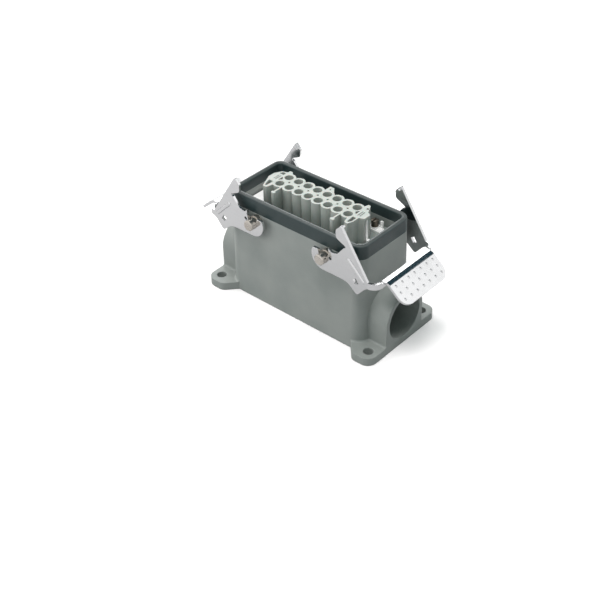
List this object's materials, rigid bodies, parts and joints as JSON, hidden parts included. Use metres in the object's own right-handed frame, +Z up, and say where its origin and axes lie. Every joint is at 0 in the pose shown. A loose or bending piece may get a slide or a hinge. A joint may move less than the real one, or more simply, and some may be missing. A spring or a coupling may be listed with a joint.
{
  "type": "heavy duty rectangular connector, surface mounting half",
  "caption": "Surface mounting half of a heavy duty rectangular connector: die cast box with lugs, rim seal, socket insert and locking levers.",
  "frame": {"origin": "centre of the mounting footprint, in the plane of the base", "axes": "+X along the length toward the open cable entry, +Y across toward the back long wall, +Z up toward the mating face"},
  "size_m": [0.1432, 0.0576, 0.0743],
  "materials": {
    "housing_paint": "fine textured grey-green powder coat on die cast aluminium",
    "seal_rubber": "smooth dark rubber",
    "pin_metal": "turned, zinc plated",
    "insert_plastic": "light grey moulded",
    "contact_metal": "silver plated copper alloy",
    "screw_steel": "zinc plated",
    "plate_steel": "tinned sheet",
    "earth_brass": "turned",
    "lever_steel": "bright rolled stainless sheet"
  },
  "bodies": {
    "housing": {"housing": "housing_paint", "rim_seal": "seal_rubber", "locking_pins": "pin_metal", "insert_body": "insert_plastic", "socket_block": "insert_plastic", "socket_contacts_front": "contact_metal", "socket_contacts_back": "contact_metal", "clamp_screws_front": "screw_steel", "clamp_screws_back": "screw_steel", "clamp_leaves_front": "screw_steel", "clamp_leaves_back": "screw_steel", "earth_plate_right": "plate_steel", "earth_plate_left": "plate_steel", "earth_washers": "plate_steel", "earth_screws": "earth_brass", "insert_screws": "screw_steel", "insert_screw_washers": "screw_steel"},
    "lever_right": {"lever_right": "lever_steel"},
    "lever_left": {"lever_left": "lever_steel"}
  },
  "joints": [
    {"name": "lever_right_hinge", "type": "hinge", "parent": "housing", "child": "lever_right", "pos_m": [0.0242, 0, 0.0514], "axis": [0, -1, 0], "range_deg": [0, 40]},
    {"name": "lever_left_hinge", "type": "hinge", "parent": "housing", "child": "lever_left", "pos_m": [-0.0242, 0, 0.0514], "axis": [0, 1, 0], "range_deg": [0, 40]}
  ]
}
